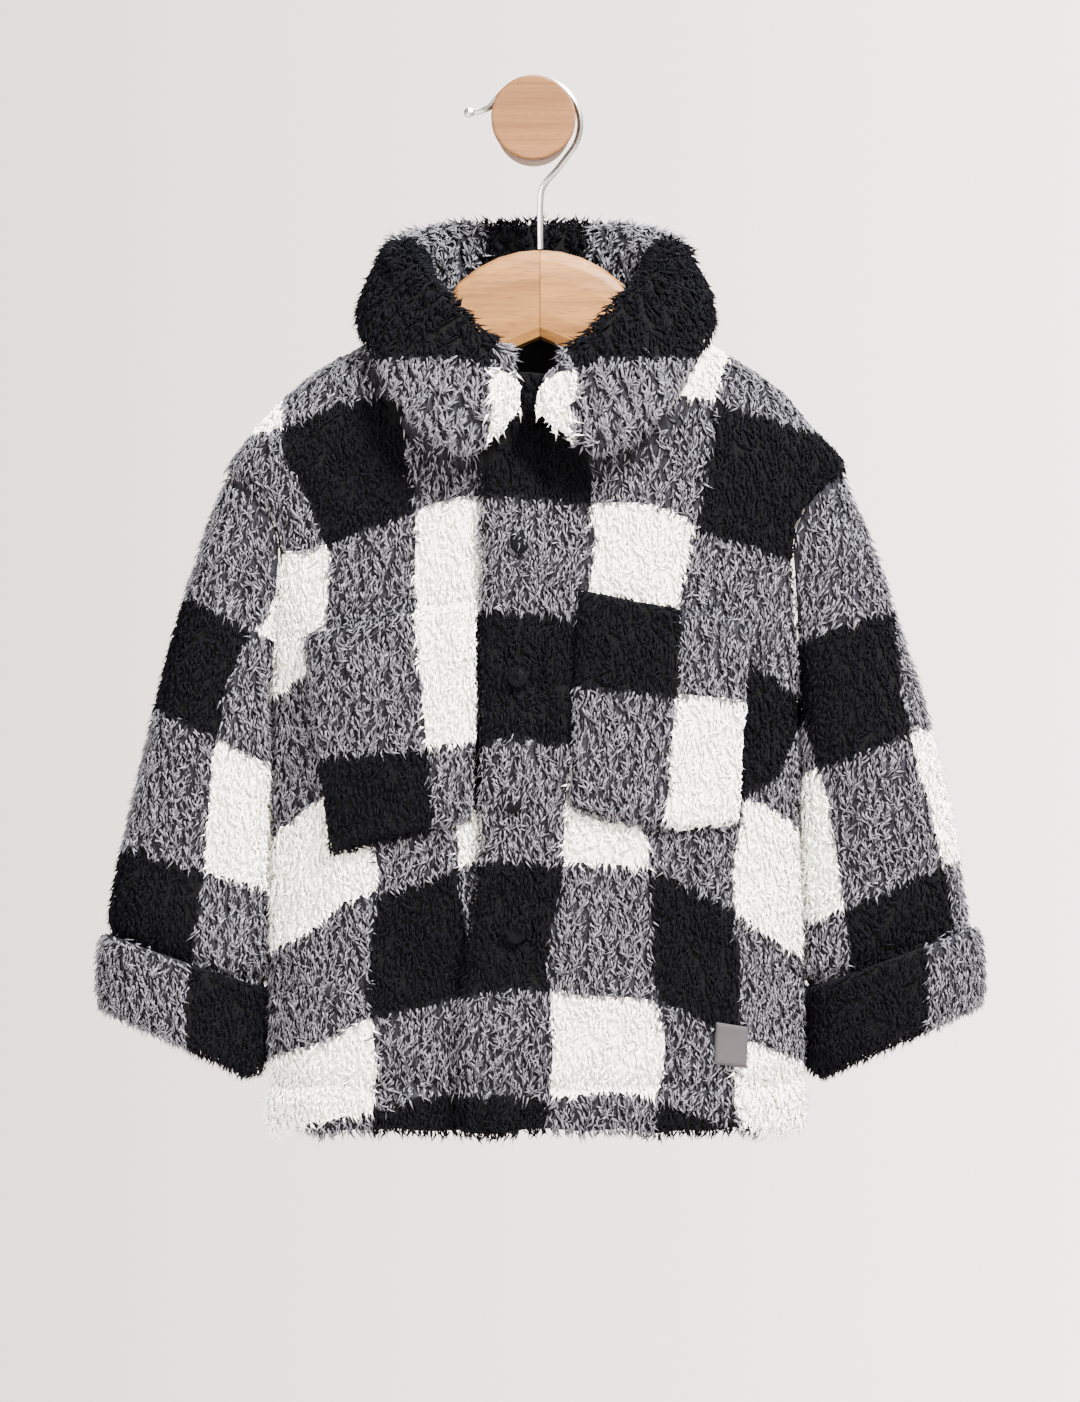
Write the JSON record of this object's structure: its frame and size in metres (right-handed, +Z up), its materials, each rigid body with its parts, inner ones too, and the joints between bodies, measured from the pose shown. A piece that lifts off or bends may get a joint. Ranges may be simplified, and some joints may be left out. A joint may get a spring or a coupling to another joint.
{
  "type": "child's fleece jacket on a hanger on a wall peg",
  "caption": "Child's boxy pile fleece overshirt with turned-down collar, patch pockets and turned-up cuffs, on a wooden hanger hung from a wall peg.",
  "frame": {"origin": "middle of the wall peg's back face, where the peg meets the wall and holds everything up", "axes": "+Z up, -Y out of the wall through the jacket's front, +X to the right of someone facing it"},
  "size_m": [0.4208, 0.1154, 0.4991],
  "materials": {
    "fleece": "curly pile fleece in a woven-look check of black, creamy white and grey marl",
    "stud": "black enamelled press stud",
    "label": "woven patch, mauve grey, bare",
    "beech": "clear satin varnish on beech",
    "wire": "satin nickel plated wire"
  },
  "bodies": {
    "root": {"front_left": "fleece", "front_right": "fleece", "back": "fleece", "sleeve_left": "fleece", "sleeve_right": "fleece", "cuff_left": "fleece", "cuff_right": "fleece", "collar": "fleece", "pocket_left": "fleece", "pocket_right": "fleece", "label": "label", "stud_1": "stud", "stud_2": "stud", "stud_3": "stud", "stud_4": "stud", "hanger_left": "beech", "hanger_right": "beech", "hook": "wire", "peg": "beech"}
  },
  "joints": []
}
